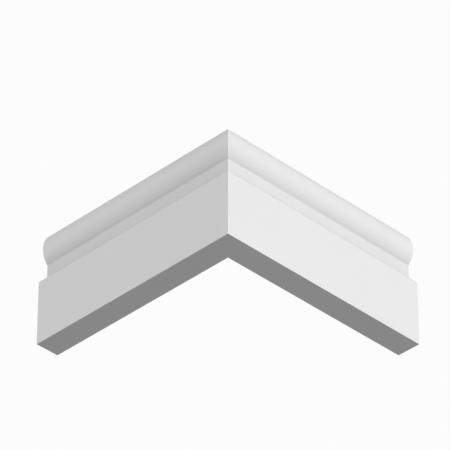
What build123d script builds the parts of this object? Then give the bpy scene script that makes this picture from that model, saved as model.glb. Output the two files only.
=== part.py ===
"""Skirting board: two moulded lengths that meet in a mitre round an outside corner of a wall.

The foot of the wall's corner is the origin. The right board runs along +X with its back on the
plane Y = 0, the left board runs along +Y with its back on the plane X = 0, and both stand on Z = 0.
"""

import os
from math import hypot

from build123d import *

# Sizes in millimetres
board_height = 100.0
board_thickness = 20.0
long_point_length = 190.0  # along the front, from the mitre's long point to the sawn end
step_round = 2.7  # on the front edge of the plinth's ledge
band_depth = 7.7  # from the plinth's face back to the plain band
band_height = 16.5
bead_foot_round = 1.0  # inside the corner where the bead rises from the band
bead_lower = 12.75  # from the bead's foot up to its nose
bead_upper = 16.25  # from the bead's nose up to the top of the board
bead_proud = 4.9  # from the band out to the bead's nose
top_ledge = 3.2  # flat strip along the top, against the wall


def moulding_section():
    """The shape of a sawn end: the wall is at Y = 0 and the plinth's face at Y = -board_thickness."""
    face = -board_thickness
    band = face + band_depth
    nose = band - bead_proud
    nose_height = board_height - bead_upper
    band_top = nose_height - bead_lower
    ledge_height = band_top - band_height
    edge_round = min(step_round, 0.8 * band_depth, 0.8 * ledge_height)

    # The bead's upper half is two arcs, upright at the nose and level at the top. They join
    # where both run parallel to the straight line between those two ends.
    across = -top_ledge - nose
    slant = hypot(across, bead_upper)
    nose_radius = slant * (slant - across) / (across + bead_upper - slant)
    shoulder = nose + nose_radius * (slant - bead_upper) / slant
    shoulder_height = nose_height + nose_radius * across / slant

    with BuildSketch(Plane.YZ) as section:
        with BuildLine():
            # Plinth, up to the rounded edge of its ledge
            Polyline((0, 0), (face, 0), (face, ledge_height - edge_round))
            TangentArc((face, ledge_height - edge_round), (face + edge_round, ledge_height), tangent=(0, 1))
            # Ledge and plain band
            Polyline((face + edge_round, ledge_height), (band, ledge_height), (band, band_top))
            # Bead, from its nose down to the band and up to the top
            TangentArc((nose, nose_height), (band, band_top), tangent=(0, -1))
            TangentArc((nose, nose_height), (shoulder, shoulder_height), tangent=(0, 1))
            TangentArc((shoulder, shoulder_height), (-top_ledge, board_height), tangent=(across, bead_upper))
            # Flat top and back
            Polyline((-top_ledge, board_height), (0, board_height), (0, 0))
        make_face()
        bead_foot = section.vertices().sort_by_distance((band, band_top))[0]
        fillet(bead_foot, bead_foot_round)
    return section.sketch


def right_length(mitre):
    """One length sawn square at its far end and mitred at the corner."""
    start = Pos(-board_thickness, 0, 0)
    length = extrude(start * moulding_section(), amount=long_point_length, dir=(1, 0, 0))
    return split(length, bisect_by=mitre, keep=Keep.TOP)


# The mitre stands upright on the line that halves the corner
mitre = Plane(origin=(0, 0, 0), z_dir=(1, -1, 0))
right_board = right_length(mitre)
left_board = mirror(right_board, about=mitre)

os.makedirs("parts", exist_ok=True)
export_step(right_board, "parts/right_board.step")
export_step(left_board, "parts/left_board.step")
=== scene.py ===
"""Looks for the skirting board: two moulded lengths mitred round an outside corner of a wall.

Places are in metres in the CAD frame: the foot of the wall's corner is the origin, the right board
runs along +X, the left board runs along +Y, and both stand on Z = 0.
"""

from math import acos, atan2, cos, hypot, pi, radians, sin

import bmesh
import bpy
from mathutils import Matrix, Vector


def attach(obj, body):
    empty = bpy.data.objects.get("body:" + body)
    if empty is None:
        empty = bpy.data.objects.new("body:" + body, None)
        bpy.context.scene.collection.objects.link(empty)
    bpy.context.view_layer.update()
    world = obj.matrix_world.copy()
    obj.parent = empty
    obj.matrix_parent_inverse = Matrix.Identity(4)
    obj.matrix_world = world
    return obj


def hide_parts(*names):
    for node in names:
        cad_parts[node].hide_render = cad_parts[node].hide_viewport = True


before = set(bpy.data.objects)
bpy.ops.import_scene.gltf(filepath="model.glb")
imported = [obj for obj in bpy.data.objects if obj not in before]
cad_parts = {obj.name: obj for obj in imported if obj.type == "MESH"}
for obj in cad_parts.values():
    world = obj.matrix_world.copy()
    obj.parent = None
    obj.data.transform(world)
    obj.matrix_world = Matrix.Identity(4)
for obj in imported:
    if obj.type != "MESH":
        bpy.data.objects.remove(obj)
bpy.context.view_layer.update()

MM = 0.001

# Sizes of the moulding
BOARD_HEIGHT = 100 * MM
BOARD_THICKNESS = 20 * MM
LONG_POINT_LENGTH = 190 * MM  # along the front, from the mitre's long point to the sawn end
STEP_ROUND = 2.7 * MM  # on the front edge of the plinth's ledge
BAND_DEPTH = 7.7 * MM  # from the plinth's face back to the plain band
BAND_HEIGHT = 16.5 * MM
BEAD_FOOT_ROUND = 1.8 * MM  # the primer fills the 1 mm round of the bare moulding a little
BEAD_LOWER = 12.75 * MM  # from the bead's foot up to its nose
BEAD_UPPER = 16.25 * MM  # from the bead's nose up to the top of the board
BEAD_PROUD = 4.9 * MM  # from the band out to the bead's nose
TOP_LEDGE = 3.2 * MM  # flat strip along the top, against the wall

# Softened edges of a moulded and primed board
ARRIS_ROUND = 0.12 * MM
INSIDE_ROUND = 0.2 * MM
SAWN_ARRIS = 0.15 * MM

# How finely the rounds are drawn
BEAD_STEPS = 24
STEP_ROUND_STEPS = 10
ARRIS_STEPS = 3
SAWN_ARRIS_STEPS = 2
SMOOTH_STRIP = 2 * MM  # strips narrower than this belong to a round and are shaded smooth

# Sawing the mitre
MITRE_WASTE = 5 * MM  # stock past the long point, cut away by the mitre
SAW_TOLERANCE = 0.0001 * MM  # points this near the saw's plane count as on it


# Drawing the section

def run_straight(bm, tip, y, z):
    """Draws the outline straight on from its tip to a new tip."""
    grown = bmesh.ops.extrude_vert_indiv(bm, verts=[tip])["verts"][0]
    grown.co = (tip.co.x, y, z)
    return grown


def run_round(bm, tip, centre_y, centre_z, angle):
    """Draws the outline on from its tip in an arc about a centre.

    A positive angle turns it back towards the wall, and a negative one out from the wall.
    """
    spun = bmesh.ops.spin(
        bm,
        geom=[tip],
        cent=(tip.co.x, centre_y, centre_z),
        axis=(-1, 0, 0),
        angle=angle,
        steps=BEAD_STEPS,
    )
    return next(part for part in spun["geom_last"] if isinstance(part, bmesh.types.BMVert))


def round_corners(bm, corners, size, steps):
    """Rounds corners of the flat outline."""
    bmesh.ops.bevel(
        bm,
        geom=corners,
        offset=size,
        offset_type="OFFSET",
        segments=steps,
        profile=0.5,
        affect="VERTICES",
        material=-1,
    )


def draw_section(bm, x):
    """The moulding's section as one upright face across the run."""
    face = -BOARD_THICKNESS
    band = face + BAND_DEPTH
    nose = band - BEAD_PROUD
    nose_height = BOARD_HEIGHT - BEAD_UPPER
    band_top = nose_height - BEAD_LOWER
    ledge_height = band_top - BAND_HEIGHT

    # The bead's lower arc, and the foot round that leads into it from the band
    lower_radius = (BEAD_LOWER ** 2 + BEAD_PROUD ** 2) / (2 * BEAD_PROUD)
    foot_reach = lower_radius + BEAD_FOOT_ROUND
    foot_across = lower_radius - BEAD_PROUD + BEAD_FOOT_ROUND
    foot_turn = acos(foot_across / foot_reach)
    foot_height = nose_height - foot_reach * sin(foot_turn)

    # The bead's upper half is two arcs, upright at the nose and level at the top. They join
    # where both run parallel to the straight line between those two ends.
    across = -TOP_LEDGE - nose
    slant = hypot(across, BEAD_UPPER)
    nose_radius = slant * (slant - across) / (across + BEAD_UPPER - slant)
    shoulder_radius = slant * (slant - BEAD_UPPER) / (across + BEAD_UPPER - slant)
    nose_turn = atan2(across, BEAD_UPPER)

    foot_front = bm.verts.new((x, face, 0))
    step_edge = run_straight(bm, foot_front, face, ledge_height)
    ledge_back = run_straight(bm, step_edge, band, ledge_height)
    foot_start = run_straight(bm, ledge_back, band, foot_height)
    foot_end = run_round(bm, foot_start, band - BEAD_FOOT_ROUND, foot_height, -foot_turn)
    nose_tip = run_round(bm, foot_end, nose + lower_radius, nose_height, foot_turn)
    shoulder = run_round(bm, nose_tip, nose + nose_radius, nose_height, nose_turn)
    ledge_front = run_round(bm, shoulder, -TOP_LEDGE, BOARD_HEIGHT - shoulder_radius, pi / 2 - nose_turn)
    top_back = run_straight(bm, ledge_front, 0, BOARD_HEIGHT)
    foot_back = run_straight(bm, top_back, 0, 0)
    bm.edges.new((foot_back, foot_front))
    bmesh.ops.contextual_create(bm, geom=bm.edges[:])

    round_corners(bm, [step_edge], STEP_ROUND, STEP_ROUND_STEPS)
    round_corners(bm, [ledge_back], INSIDE_ROUND, ARRIS_STEPS)
    round_corners(bm, [foot_front, top_back, foot_back], ARRIS_ROUND, ARRIS_STEPS)


# Sawing the lengths

def saw_right_length(bm):
    """A length along +X, mitred at the corner and sawn square at its far end."""
    draw_section(bm, -BOARD_THICKNESS - MITRE_WASTE)
    grown = bmesh.ops.extrude_face_region(bm, geom=bm.faces[:])["geom"]
    far_verts = [part for part in grown if isinstance(part, bmesh.types.BMVert)]
    bmesh.ops.translate(bm, verts=far_verts, vec=(LONG_POINT_LENGTH + MITRE_WASTE, 0, 0))
    cut = bmesh.ops.bisect_plane(
        bm,
        geom=bm.verts[:] + bm.edges[:] + bm.faces[:],
        dist=SAW_TOLERANCE,
        plane_co=(0, 0, 0),
        plane_no=(1, -1, 0),
        clear_inner=True,
    )["geom_cut"]
    bmesh.ops.contextual_create(bm, geom=[part for part in cut if isinstance(part, bmesh.types.BMEdge)])
    bmesh.ops.recalc_face_normals(bm, faces=bm.faces[:])

    sawn_end = max(bm.faces, key=lambda part: part.calc_center_median().x)
    sawn_end.material_index = 1
    bmesh.ops.bevel(
        bm,
        geom=sawn_end.edges[:],
        offset=SAWN_ARRIS,
        offset_type="OFFSET",
        segments=SAWN_ARRIS_STEPS,
        profile=0.5,
        affect="EDGES",
        material=-1,
    )
    bmesh.ops.recalc_face_normals(bm, faces=bm.faces[:])


def shade_rounds(bm):
    """Shades smoothly across the strips of each round, and keeps flat faces and ends flat."""
    strip_area = SMOOTH_STRIP * LONG_POINT_LENGTH
    for part in bm.faces:
        part.smooth = True
    for edge in bm.edges:
        between_strips = all(part.calc_area() < strip_area for part in edge.link_faces)
        along_the_run = edge.calc_length() > LONG_POINT_LENGTH / 2
        edge.smooth = between_strips and along_the_run


def make_board(name, node, mirrored, materials):
    """A finished board as an object that rides on the body and stands for its CAD node."""
    bm = bmesh.new()
    saw_right_length(bm)
    if mirrored:
        swap_runs = Matrix(((0, 1, 0, 0), (1, 0, 0, 0), (0, 0, 1, 0), (0, 0, 0, 1)))
        bmesh.ops.transform(bm, matrix=swap_runs, verts=bm.verts[:])
        bmesh.ops.recalc_face_normals(bm, faces=bm.faces[:])
    shade_rounds(bm)
    mesh = bpy.data.meshes.new(name)
    bm.to_mesh(mesh)
    bm.free()
    for material in materials:
        mesh.materials.append(material)
    board = bpy.data.objects.new(name, mesh)
    bpy.context.scene.collection.objects.link(board)
    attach(board, "root")
    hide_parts(node)


# Materials

def linear(hex_colour):
    """A linear colour from an sRGB hex value."""
    levels = [int(hex_colour[i:i + 2], 16) / 255 for i in (1, 3, 5)]
    return [v / 12.92 if v <= 0.04045 else ((v + 0.055) / 1.055) ** 2.4 for v in levels] + [1.0]


def add(tree, kind, settings=None, inputs=None):
    """Adds a node. Settings are its properties, and inputs are values or links, by socket."""
    node = tree.nodes.new(kind)
    for name, value in (settings or {}).items():
        setattr(node, name, value)
    for socket, value in (inputs or {}).items():
        if isinstance(value, bpy.types.NodeSocket):
            tree.links.new(value, node.inputs[socket])
        else:
            node.inputs[socket].default_value = value
    return node


def new_tree(material):
    """The emptied node tree of a material."""
    material.use_nodes = True
    material.node_tree.nodes.clear()
    return material.node_tree


def primed_polymer(name, along):
    """Hard foamed polystyrene, extruded along one axis and sprayed with white primer.

    The eye gets a chalky white with hardly any sheen, a coat that is a little thicker in places,
    draw lines along the run that the primer almost hides, and a fine spray stipple.
    """
    draw_line_length = 400 * MM
    draw_line_width = 2.2 * MM
    draw_line_depth = 0.008 * MM
    draw_line_share = 0.4  # of the colour's change, and the coat gives the rest
    coat_patch = 55 * MM
    stipple_size = 0.9 * MM  # coarser than real spray, which is too fine to show
    stipple_depth = 0.008 * MM

    material = bpy.data.materials.new(name)
    tree = new_tree(material)
    place = add(tree, "ShaderNodeTexCoord").outputs["Object"]
    stretch = [1 / draw_line_width] * 3
    stretch[along] = 1 / draw_line_length
    stretched = add(tree, "ShaderNodeMapping", None, {"Vector": place, "Scale": stretch})
    draw_lines = add(
        tree,
        "ShaderNodeTexNoise",
        None,
        {"Vector": stretched.outputs["Vector"], "Scale": 1.0, "Detail": 2.0},
    )
    coat = add(
        tree,
        "ShaderNodeTexNoise",
        None,
        {"Vector": place, "Scale": 1 / coat_patch, "Detail": 2.0},
    )
    stipple = add(
        tree,
        "ShaderNodeTexNoise",
        None,
        {"Vector": place, "Scale": 1 / stipple_size, "Detail": 1.0},
    )
    tone = add(
        tree,
        "ShaderNodeMix",
        {"data_type": "FLOAT"},
        {"Factor": draw_line_share, 2: coat.outputs["Fac"], 3: draw_lines.outputs["Fac"]},
    )
    colour = add(
        tree,
        "ShaderNodeMix",
        {"data_type": "RGBA"},
        {"Factor": tone.outputs[0], 6: linear("#E7E7E7"), 7: linear("#EEEEEE")},
    )
    roughness = add(
        tree,
        "ShaderNodeMapRange",
        None,
        {"Value": coat.outputs["Fac"], "To Min": 0.8, "To Max": 0.9},
    )
    drawn = add(
        tree,
        "ShaderNodeBump",
        None,
        {"Strength": 1.0, "Distance": draw_line_depth, "Height": draw_lines.outputs["Fac"]},
    )
    sprayed = add(
        tree,
        "ShaderNodeBump",
        None,
        {
            "Strength": 1.0,
            "Distance": stipple_depth,
            "Height": stipple.outputs["Fac"],
            "Normal": drawn.outputs["Normal"],
        },
    )
    shader = add(
        tree,
        "ShaderNodeBsdfPrincipled",
        None,
        {
            "Base Color": colour.outputs[2],
            "Roughness": roughness.outputs["Result"],
            "IOR": 1.5,
            "Specular IOR Level": 0.06,
            "Normal": sprayed.outputs["Normal"],
        },
    )
    add(tree, "ShaderNodeOutputMaterial", None, {"Surface": shader.outputs["BSDF"]})
    return material


def sawn_polymer(name):
    """The bare core of the same polymer where the saw has cut it.

    The eye gets a dull white of tiny closed cells, cut open.
    """
    cell_size = 0.45 * MM  # coarser than real cells, which are too fine to show
    cell_depth = 0.03 * MM

    material = bpy.data.materials.new(name)
    tree = new_tree(material)
    place = add(tree, "ShaderNodeTexCoord").outputs["Object"]
    cells = add(tree, "ShaderNodeTexVoronoi", None, {"Vector": place, "Scale": 1 / cell_size})
    colour = add(
        tree,
        "ShaderNodeMix",
        {"data_type": "RGBA"},
        {"Factor": cells.outputs["Distance"], 6: linear("#E0E0E0"), 7: linear("#EEEEEE")},
    )
    pitted = add(
        tree,
        "ShaderNodeBump",
        None,
        {"Strength": 1.0, "Distance": cell_depth, "Height": cells.outputs["Distance"]},
    )
    shader = add(
        tree,
        "ShaderNodeBsdfPrincipled",
        None,
        {
            "Base Color": colour.outputs[2],
            "Roughness": 0.8,
            "IOR": 1.5,
            "Normal": pitted.outputs["Normal"],
        },
    )
    add(tree, "ShaderNodeOutputMaterial", None, {"Surface": shader.outputs["BSDF"]})
    return material


# The boards

sawn = sawn_polymer("sawn_polystyrene")
primed_right = primed_polymer("primed_polystyrene_right", along=0)
primed_left = primed_polymer("primed_polystyrene_left", along=1)
make_board("right_moulding", "right_board", mirrored=False, materials=[primed_right, sawn])
make_board("left_moulding", "left_board", mirrored=True, materials=[primed_left, sawn])


# Floor, light and camera

FLOOR_SIZE = 6.0
FLOOR_DROP = 0.3 * MM  # keeps the floor clear of the undersides that stand on it
FLOOR_GLOW = 0.42  # lifts the floor towards white, as the lamps alone leave it grey
EVEN_LIGHT = 0.01
BACKDROP = 0.976  # 1 is white


def pale_floor():
    """A pale floor that keeps the shadow. It shows from above only, so that the underside can be seen."""
    bm = bmesh.new()
    bmesh.ops.create_grid(bm, x_segments=1, y_segments=1, size=FLOOR_SIZE / 2)
    bmesh.ops.translate(bm, verts=bm.verts[:], vec=(0, 0, -FLOOR_DROP))
    mesh = bpy.data.meshes.new("floor")
    bm.to_mesh(mesh)
    bm.free()
    material = bpy.data.materials.new("pale_floor")
    tree = new_tree(material)
    paint = add(tree, "ShaderNodeBsdfDiffuse", None, {"Color": linear("#E6E6E6")})
    lift = add(tree, "ShaderNodeEmission", None, {"Color": linear("#FFFFFF"), "Strength": FLOOR_GLOW})
    shown = add(tree, "ShaderNodeAddShader", None, {0: paint.outputs[0], 1: lift.outputs[0]})
    clear = add(tree, "ShaderNodeBsdfTransparent")
    side = add(tree, "ShaderNodeNewGeometry").outputs["Backfacing"]
    one_sided = add(tree, "ShaderNodeMixShader", None, {0: side, 1: shown.outputs[0], 2: clear.outputs[0]})
    add(tree, "ShaderNodeOutputMaterial", None, {"Surface": one_sided.outputs[0]})
    mesh.materials.append(material)
    floor = bpy.data.objects.new("floor", mesh)
    # Only the camera sees the floor, so it neither lights nor shades the boards
    floor.visible_diffuse = False
    floor.visible_glossy = False
    floor.visible_transmission = False
    floor.visible_shadow = False
    bpy.context.scene.collection.objects.link(floor)


def soft_sun(name, bearing, rise, softness, strength):
    """A broad distant lamp. Its angles are in degrees, and its bearing counts from +Y towards +X."""
    lamp = bpy.data.lights.new(name, "SUN")
    lamp.energy = strength
    lamp.angle = radians(softness)
    turn = radians(bearing)
    tilt = radians(rise)
    shines_from = Vector((sin(turn) * cos(tilt), cos(turn) * cos(tilt), sin(tilt)))
    sun = bpy.data.objects.new(name, lamp)
    sun.rotation_mode = "QUATERNION"
    sun.rotation_quaternion = (-shines_from).to_track_quat("-Z", "Y")
    bpy.context.scene.collection.objects.link(sun)


def white_room():
    """A trace of even light from all round, and a white backdrop that the camera and reflections see."""
    world = bpy.data.worlds.new("white_room")
    bpy.context.scene.world = world
    world.use_nodes = True
    tree = world.node_tree
    tree.nodes.clear()
    path = add(tree, "ShaderNodeLightPath").outputs
    bounced = add(
        tree,
        "ShaderNodeMath",
        {"operation": "MAXIMUM"},
        {0: path["Is Glossy Ray"], 1: path["Is Transmission Ray"]},
    )
    seen = add(
        tree,
        "ShaderNodeMath",
        {"operation": "MAXIMUM"},
        {0: path["Is Camera Ray"], 1: bounced.outputs[0]},
    )
    even = add(tree, "ShaderNodeBackground", None, {"Color": linear("#FFFFFF"), "Strength": EVEN_LIGHT})
    backdrop = add(tree, "ShaderNodeBackground", None, {"Color": linear("#FFFFFF"), "Strength": BACKDROP})
    mixed = add(
        tree,
        "ShaderNodeMixShader",
        None,
        {0: seen.outputs[0], 1: even.outputs[0], 2: backdrop.outputs[0]},
    )
    add(tree, "ShaderNodeOutputWorld", None, {"Surface": mixed.outputs[0]})


def place_camera():
    """A long lens, looking up at the corner from below floor level.

    The lens is shifted to put the corner as far right of the picture's middle as in the photograph.
    """
    pitch = radians(35.497)
    distance = 2484.5 * MM
    rise = 5.73 * MM
    corner = Vector((-BOARD_THICKNESS, -BOARD_THICKNESS, 0))
    heading = Vector((1, 1, 0)).normalized()
    level_up = Vector((0, 0, 1))
    forward = heading * cos(pitch) + level_up * sin(pitch)
    up = level_up * cos(pitch) - heading * sin(pitch)
    lens = bpy.data.cameras.new("camera")
    lens.lens = 295.7
    lens.sensor_width = 36
    lens.shift_x = -0.00658
    lens.clip_end = 50
    camera = bpy.data.objects.new("camera", lens)
    camera.location = corner - forward * distance + up * rise
    camera.rotation_mode = "QUATERNION"
    camera.rotation_quaternion = forward.to_track_quat("-Z", "Y")
    bpy.context.scene.collection.objects.link(camera)
    bpy.context.scene.camera = camera


pale_floor()
white_room()
# Three lamps on the fronts: level, from below and from above
soft_sun("front_light", bearing=210.5, rise=0, softness=31, strength=2.27)
soft_sun("low_light", bearing=221, rise=-43, softness=56, strength=1.085)
soft_sun("high_light", bearing=221, rise=41, softness=40, strength=0.965)
# One lamp on the backs and the sawn ends, which lie in the shade of the others
soft_sun("back_light", bearing=36, rise=23, softness=20, strength=2.6)
# As in the photograph, no face throws light on to another
bpy.context.scene.cycles.diffuse_bounces = 0
place_camera()
bpy.context.scene.view_settings.view_transform = "Standard"
